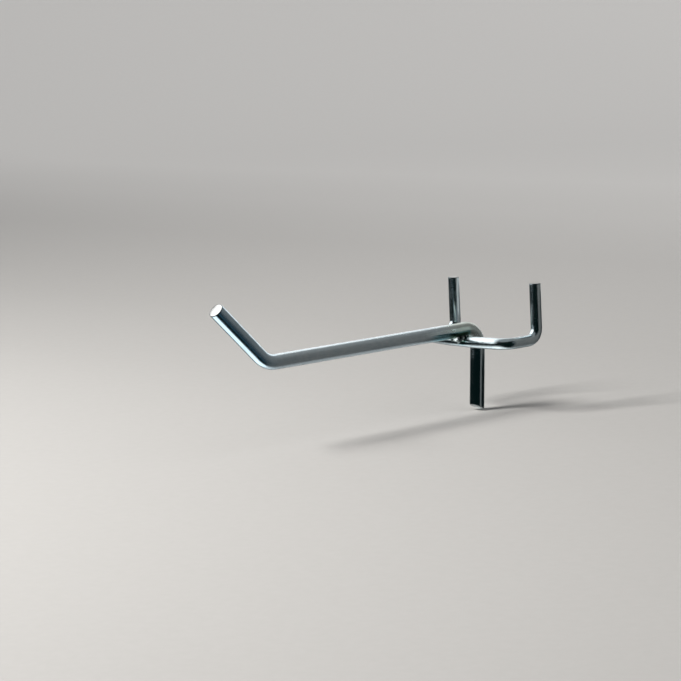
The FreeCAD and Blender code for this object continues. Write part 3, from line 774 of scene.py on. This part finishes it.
def zinc_wire():
    """Bright zinc over drawn wire: cool grey metal with lines along the wire,
    a cloudy skin, duller and warmer where it was heated and bent."""
    m = Nodes("zinc_wire")
    wire = m.attribute("wire", "Vector")
    heat, dull, cut = m.attribute("heat"), m.attribute("dull"), m.attribute("cut")
    lines = m.noise(m.stretch(wire, (1, 1, 0.012)), 4200, 4, 0.65)
    fine = m.noise(m.stretch(wire, (1, 1, 0.02)), 12000, 2, 0.6)
    broad = m.noise(m.stretch(wire, (1, 1, 0.03)), 900, 3, 0.5)
    cloud = m.noise(wire, 420, 4, 0.6)
    speck = m.noise(wire, 2600, 3, 0.6)
    haze = m.noise(wire, 300, 1, 0.4)
    # colour
    cool = m.mix(m.remap(cloud, 0.35, 0.65, 0, 1), (0.47, 0.56, 0.61), (0.56, 0.63, 0.67))
    cool = m.mix(m.remap(lines, 0.42, 0.60, 0.0, 0.55), cool, (0.62, 0.69, 0.73))
    cool = m.mix(m.remap(broad, 0.30, 0.46, 0.5, 0.0), cool, (0.36, 0.43, 0.47))
    warm = m.mix(m.remap(speck, 0.35, 0.65, 0, 1), (0.44, 0.49, 0.43), (0.58, 0.62, 0.55))
    skin = m.mix(m.remap(dull, 0, 1, 0, 0.75), cool, warm)
    tint = m.ramp(m.math("ADD", heat, m.remap(cloud, 0.3, 0.7, -0.12, 0.12)),
                  [(0.0, (0.5, 0.58, 0.62)), (0.30, (0.47, 0.53, 0.50)), (0.48, (0.52, 0.55, 0.38)), (0.62, (0.40, 0.38, 0.24)),
                   (0.78, (0.16, 0.18, 0.17)), (1.0, (0.07, 0.09, 0.085))])
    skin = m.mix(m.remap(heat, 0.12, 0.55, 0, 0.9), skin, tint)
    torn = m.noise(m.stretch(wire, (1, 3.5, 1)), 1900, 4, 0.7)
    along = m.add("ShaderNodeSeparateXYZ")
    m.link(wire, along.inputs[0])
    face = m.mix(m.remap(torn, 0.38, 0.60, 0, 1), (0.33, 0.335, 0.33), (0.50, 0.50, 0.485))
    # the cut face is darker towards its -X side
    darker_minus_x_side = m.math("MULTIPLY", m.remap(along.outputs["X"], -0.0029, -0.0009, 0.95, 0.0), m.remap(cloud, 0.40, 0.56, 0.45, 1.0))
    face = m.mix(darker_minus_x_side, face, (0.10, 0.10, 0.098))
    foot_face = m.mix(m.remap(torn, 0.35, 0.65, 0, 1), (0.70, 0.72, 0.72), (0.92, 0.94, 0.93))
    face = m.mix(m.remap(along.outputs["Z"], 0.02, 0.06, 1, 0), face, foot_face)
    colour = m.mix(cut, skin, face)
    colour = m.mix(m.math("MULTIPLY", m.attribute("rim"), 0.9), colour, (0.05, 0.06, 0.06))
    # painted reflection: lighter flanks on the arm near the crossing
    colour = m.mix(m.attribute("painted_reflection"), colour, (1.5, 1.55, 1.5), "MULTIPLY")
    past_bend = m.math("MULTIPLY", m.remap(along.outputs["Z"], S_ARM1 * MM - 0.002, S_TIP0 * MM, 0.0, 1.0), m.remap(along.outputs["Z"], 0.25, 0.26, 1.0, 0.0))
    blue = m.mix(m.remap(cloud, 0.35, 0.65, 0, 1), (0.94, 1.03, 1.10), (0.98, 1.08, 1.14))
    colour = m.mix(m.math("MULTIPLY", past_bend, m.math("SUBTRACT", 1.0, cut)), colour, blue, "MULTIPLY")
    # painted shade: the wire turns dark teal under the arm near the crossing and on the crosspiece beside the weld
    painted_shade_tint = m.ramp(m.attribute("painted_shade"), [(0.0, (1.0, 1.0, 1.0)), (0.45, (0.50, 0.82, 0.86)), (1.0, (0.14, 0.24, 0.16))])
    colour = m.mix(1.0, colour, painted_shade_tint, "MULTIPLY")
    m.link(colour, m.bsdf.inputs["Base Color"])
    m.bsdf.inputs["Metallic"].default_value = 1.0
    # finish
    rough = m.math("MULTIPLY", m.remap(lines, 0.4, 0.65, 0.06, 0.0), m.remap(dull, 0.15, 0.5, 1.0, 0.0))
    rough = m.math("ADD", rough, m.remap(haze, 0.3, 0.7, 0.10, 0.165))
    rough = m.math("ADD", rough, m.math("MULTIPLY", dull, m.remap(haze, 0.3, 0.7, 0.18, 0.24)))
    rough = m.math("ADD", rough, m.math("MULTIPLY", heat, m.remap(haze, 0.3, 0.7, 0.10, 0.18)))
    rough = m.math("ADD", rough, m.math("MULTIPLY", cut, 0.16), clamp=True)
    sleek = m.remap(along.outputs["Z"], 0.018, 0.027, 0.55, 1.0)  # the leg is the smoothest
    rough = m.math("MULTIPLY", rough, sleek)
    m.link(rough, m.bsdf.inputs["Roughness"])
    # relief
    height = m.math("ADD", m.math("MULTIPLY", lines, 1.0), m.math("MULTIPLY", fine, 0.35))
    height = m.math("MULTIPLY", height, m.remap(m.math("MAXIMUM", dull, cut), 0, 1, 1.0, 0.15))
    n1 = m.bump(height, 0.0000045, 1.0)
    pebble = m.math("MULTIPLY", speck, m.math("ADD", m.math("MULTIPLY", dull, 0.5), m.math("ADD", m.math("MULTIPLY", heat, 0.5), 0.08)))
    n2 = m.bump(pebble, 0.000022, 1.0, n1)
    ragged = m.noise(wire, 1500, 3, 0.62)
    n2 = m.bump(m.math("MULTIPLY", ragged, m.attribute("grain")), 0.0001, 1.0, n2)
    n3 = m.bump(m.math("MULTIPLY", torn, cut), 0.00006, 1.0, n2)
    m.link(n3, m.bsdf.inputs["Normal"])
    return m.material


def weld_metal():
    """Weld flash under thin plating: knobs with a lighter colour as painted highlight, random dark blotches, and pits
    darkened as painted shade.
    """
    m = Nodes("weld_metal")
    wire = m.attribute("wire", "Vector")
    pits = m.attribute("pits")
    blotch = m.noise(wire, 900, 4, 0.6)
    grit = m.noise(wire, 5200, 3, 0.6)
    base = m.mix(m.remap(blotch, 0.38, 0.62, 0, 1), (0.10, 0.13, 0.125), (0.52, 0.58, 0.57))
    # painted shade in the pit hollows, on top of random dark blotches
    base = m.mix(m.remap(pits, 0.35, 0.75, 0.0, 0.9), base, (0.025, 0.04, 0.035))
    knobs = m.attribute("knobs")
    # painted highlight: lighter colour on the bright beads
    base = m.mix(m.remap(knobs, 0.2, 0.8, 0.0, 0.95), base, (0.80, 0.86, 0.85))
    m.link(base, m.bsdf.inputs["Base Color"])
    m.bsdf.inputs["Metallic"].default_value = 1.0
    rough = m.math("ADD", m.remap(blotch, 0.35, 0.65, 0.42, 0.16), m.remap(grit, 0.3, 0.7, 0.0, 0.14), clamp=True)
    rough = m.math("SUBTRACT", rough, m.math("MULTIPLY", knobs, 0.10), clamp=True)
    m.link(rough, m.bsdf.inputs["Roughness"])
    n1 = m.bump(blotch, 0.00018, 1.0)
    m.link(m.bump(grit, 0.00004, 1.0, n1), m.bsdf.inputs["Normal"])
    return m.material


zinc, weldm = zinc_wire(), weld_metal()
for ob, mat in ((arm_ob, zinc), (fork_ob, zinc), (weld_ob, weldm)):
    ob.data.materials.clear()
    ob.data.materials.append(mat)


# --------------------------------------------------------------- the stage
def stage_material(name, colour, rough, specular, scale=14.0, spread=0.02):
    m = Nodes(name)
    co = m.add("ShaderNodeTexCoord").outputs["Object"]
    n = m.noise(co, scale, 5, 0.6)
    c = m.mix(m.remap(n, 0.3, 0.7, 0, 1), tuple(x - spread for x in colour), tuple(x + spread for x in colour))
    m.link(c, m.bsdf.inputs["Base Color"])
    m.bsdf.inputs["Roughness"].default_value = rough
    m.bsdf.inputs["Specular IOR Level"].default_value = specular
    return m


FLOOR_Z = float(cad_low.z) - 0.00002
turns, profile = 128, []
for r in (0.0, 0.05, 0.15, 0.4, 0.8, 1.3, 1.8):
    profile.append((r, 0.0))
for i in range(1, 25):
    a = i / 24 * math.pi / 2
    profile.append((1.8 + 1.4 * math.sin(a), 1.4 * (1 - math.cos(a))))
profile.append((3.2, 3.4))
fv, ff = [(0, 0, 0)], []
for r, z in profile[1:]:
    for t in range(turns):
        a = 2 * math.pi * t / turns
        fv.append((r * math.cos(a), r * math.sin(a), z))
for t in range(turns):
    ff.append((0, 1 + t, 1 + (t + 1) % turns))
for i in range(len(profile) - 2):
    for t in range(turns):
        a, b = 1 + i * turns + t, 1 + i * turns + (t + 1) % turns
        ff.append((a, a + turns, b + turns, b))
floor_mesh = bpy.data.meshes.new("studio_floor")
floor_mesh.from_pydata([(x, y, z + FLOOR_Z) for x, y, z in fv], [], ff)
floor_mesh.polygons.foreach_set("use_smooth", np.ones(len(ff), bool))
floor = bpy.data.objects.new("studio_floor", floor_mesh)
scene.collection.objects.link(floor)
paper = stage_material("studio_paper", (0.43, 0.421, 0.408), 0.8, 0.15, 260.0, 0.006)
reach = paper.add("ShaderNodeSeparateXYZ")
paper.link(paper.add("ShaderNodeTexCoord").outputs["Object"], reach.inputs[0])
glow = paper.remap(reach.outputs["Y"], 0.0, 3.2, 0.0, 1.0)  # evens out the light on the part behind the prongs
paper.link(paper.ramp(glow, [(t, (v, v * 0.98, v * 0.955)) for t, v in ((0.0, 0.0), (0.05, 0.02), (0.14, 0.10), (0.21, 0.20), (0.285, 0.28), (0.51, 0.325), (0.63, 0.36), (1.0, 0.42))]),
           paper.bsdf.inputs["Emission Color"])
paper.bsdf.inputs["Emission Strength"].default_value = 1.0
floor.data.materials.append(paper.material)
floor.visible_glossy = False
floor.visible_diffuse = False
floor.visible_shadow = False

# A reflector card beside the prongs, which only shows as a reflection. Its colour is painted with shade and light: a
# dark soft ellipse for the hook's shadow, a dark bluish fade to the right and two lighter patches to the left.
card_mesh = bpy.data.meshes.new("reflector_card")
card_mesh.from_pydata([(-0.7, 0, -0.55), (0.7, 0, -0.55), (0.7, 0, 0.6), (-0.7, 0, 0.6)], [], [(0, 1, 2, 3)])
card = bpy.data.objects.new("reflector_card", card_mesh)
scene.collection.objects.link(card)
card.rotation_euler = (math.radians(-CARD_TILT), 0, 0)
card.location = (0, 0.0105, 0)
card_nodes = stage_material("reflector_paint", CARD_COLOUR, CARD_ROUGH, 1.0, 90.0, 0.01)
card_nodes.bsdf.inputs["IOR"].default_value = CARD_IOR
side = card_nodes.add("ShaderNodeSeparateXYZ")
card_nodes.link(card_nodes.add("ShaderNodeTexCoord").outputs["Object"], side.inputs[0])
# painted shade: the card turns dark and bluish towards its right
fade = card_nodes.remap(side.outputs["X"], 0.12, 0.42, 1.0, 0.0)
# painted shadow: a dark soft ellipse behind and below the hook
ax = card_nodes.math("MULTIPLY", card_nodes.math("SUBTRACT", side.outputs["X"], 0.011), 1 / 0.019)
az = card_nodes.math("MULTIPLY", card_nodes.math("SUBTRACT", side.outputs["Z"], -0.031), 1 / 0.024)
far = card_nodes.math("POWER", card_nodes.math("ADD", card_nodes.math("MULTIPLY", ax, ax), card_nodes.math("MULTIPLY", az, az)), 0.5)
shade = card_nodes.mix(fade, (0.066, 0.106, 0.136), card_nodes.bsdf.inputs["Base Color"].links[0].from_socket)
# painted light: a lighter patch up to the left
turn_up = card_nodes.math("ARCTAN2", card_nodes.math("SUBTRACT", side.outputs["Z"], 0.005), card_nodes.math("MULTIPLY", side.outputs["X"], -1.0))
lighter = card_nodes.remap(turn_up, 1.04, 1.24, 1.0, 0.0)
lighter = card_nodes.math("MULTIPLY", lighter, card_nodes.remap(turn_up, 0.0, 0.2, 0.0, 1.0))
shade = card_nodes.mix(lighter, shade, (0.70, 0.702, 0.70))
# painted light: a lighter patch low to the left
low_left = card_nodes.remap(turn_up, -1.36, -1.05, 0.0, 1.0)
low_left = card_nodes.math("MULTIPLY", low_left, card_nodes.remap(turn_up, -0.35, -0.15, 1.0, 0.0))
shade = card_nodes.mix(low_left, shade, (0.46, 0.46, 0.455))
shade = card_nodes.mix(card_nodes.remap(far, 0.8, 1.3, 0.0, 1.0), (0.008, 0.014, 0.014), shade)
card_nodes.link(shade, card_nodes.bsdf.inputs["Base Color"])
clear = card_nodes.add("ShaderNodeBsdfTransparent")
facing = card_nodes.add("ShaderNodeNewGeometry").outputs["Backfacing"]
both = card_nodes.add("ShaderNodeMixShader")
card_nodes.link(facing, both.inputs[0])
card_nodes.link(card_nodes.bsdf.outputs[0], both.inputs[1])
card_nodes.link(clear.outputs[0], both.inputs[2])
card_nodes.link(both.outputs[0], card_nodes.out.inputs["Surface"])
card.data.materials.append(card_nodes.material)
card.visible_camera = card.visible_diffuse = card.visible_shadow = card.visible_transmission = False


# --------------------------------------------------------------- the light
def area(name, place, target, size, power, colour=(1, 1, 1), size_y=None):
    data = bpy.data.lights.new(name, "AREA")
    data.energy, data.color = power, colour
    data.shape = "RECTANGLE" if size_y else "SQUARE"
    data.size = size
    if size_y:
        data.size_y = size_y
    ob = bpy.data.objects.new(name, data)
    scene.collection.objects.link(ob)
    ob.location = place
    ob.rotation_mode = "QUATERNION"
    ob.rotation_quaternion = (Vector(target) - Vector(place)).to_track_quat("-Z", "Y")
    ob.visible_camera = False
    return ob


key_dir = Vector(KEY_DIR).normalized()
key = area("key_softbox", key_dir * 1.25 + Vector((0, -0.04, 0)), (0, -0.04, 0), KEY_SIZE, KEY_POWER, (1.0, 0.985, 0.965))
key.visible_glossy = False
fill = bpy.data.lights.new("fill_sky", "SUN")
fill.energy, fill.angle, fill.color = FILL, math.radians(70), (0.97, 0.98, 1.0)
fill_ob = bpy.data.objects.new("fill_sky", fill)
scene.collection.objects.link(fill_ob)
fill_ob.rotation_mode = "QUATERNION"
fill_ob.rotation_quaternion = Vector((-0.72, -0.12, -0.66)).to_track_quat("-Z", "Y")
fill_ob.visible_glossy = False

world = bpy.data.worlds.new("studio_world")
scene.world = world
world.use_nodes = True
world.cycles_visibility.diffuse = False
wt = world.node_tree
wt.nodes.clear()


def wnode(kind, **settings):
    n = wt.nodes.new(kind)
    for key, value in settings.items():
        setattr(n, key, value)
    return n


direction = wnode("ShaderNodeTexCoord").outputs["Generated"]
normal = wnode("ShaderNodeVectorMath", operation="NORMALIZE")
wt.links.new(direction, normal.inputs[0])
direction = normal.outputs[0]


def patch(vec, inner, outer, power):
    """A soft round patch of light in the world, by direction."""
    dot = wnode("ShaderNodeVectorMath", operation="DOT_PRODUCT")
    wt.links.new(direction, dot.inputs[0])
    dot.inputs[1].default_value = Vector(vec).normalized()
    soft = wnode("ShaderNodeMapRange", interpolation_type="SMOOTHSTEP", clamp=True)
    wt.links.new(dot.outputs["Value"], soft.inputs["Value"])
    soft.inputs["From Min"].default_value = math.cos(math.radians(outer))
    soft.inputs["From Max"].default_value = math.cos(math.radians(inner))
    soft.inputs["To Max"].default_value = power
    return soft.outputs[0]


vec, inner, outer, power, sill, clear_of = WINDOW
height = wnode("ShaderNodeSeparateXYZ")
wt.links.new(direction, height.inputs[0])
edge = wnode("ShaderNodeMapRange", interpolation_type="SMOOTHSTEP", clamp=True)
wt.links.new(height.outputs["Z"], edge.inputs["Value"])
edge.inputs["From Min"].default_value, edge.inputs["From Max"].default_value = sill, clear_of
glass = wnode("ShaderNodeMath", operation="MULTIPLY")
wt.links.new(patch(vec, inner, outer, power), glass.inputs[0])
wt.links.new(edge.outputs[0], glass.inputs[1])
total = glass.outputs[0]
for vec, inner, outer, power, colour in PATCHES:
    col = wnode("ShaderNodeVectorMath", operation="SCALE")
    col.inputs[0].default_value = colour
    wt.links.new(patch(vec, inner, outer, power), col.inputs["Scale"])
    add = wnode("ShaderNodeVectorMath", operation="ADD")
    wt.links.new(total, add.inputs[0])
    wt.links.new(col.outputs[0], add.inputs[1])
    total = add.outputs[0]
base = wnode("ShaderNodeVectorMath", operation="ADD")
wt.links.new(total, base.inputs[0])
base.inputs[1].default_value = (0.003, 0.009, 0.009)
background = wnode("ShaderNodeBackground")
wt.links.new(base.outputs[0], background.inputs["Color"])
world_out = wnode("ShaderNodeOutputWorld")
wt.links.new(background.outputs[0], world_out.inputs["Surface"])

scene.view_settings.view_transform = "Standard"
scene.view_settings.look = "None"
scene.view_settings.exposure = 0.0

# -------------------------------------------------------------- the camera
right = Vector((0.657183, 0.752284, -0.046691))
up = Vector((-0.074123, 0.126151, 0.989238))
ahead = Vector((-0.750078, 0.646649, -0.138666))
cam = bpy.data.cameras.new("camera")
cam.sensor_fit = "HORIZONTAL"
cam.sensor_width = 36.0
cam.lens = 36.0 * 2523.79 / 681
cam.clip_start, cam.clip_end = 0.01, 50
camera = bpy.data.objects.new("camera", cam)
scene.collection.objects.link(camera)
rot = Matrix((right, up, -ahead)).transposed()
camera.matrix_world = Matrix.Translation(Vector((0.788799, -0.764992, 0.154852))) @ rot.to_4x4()
scene.camera = camera
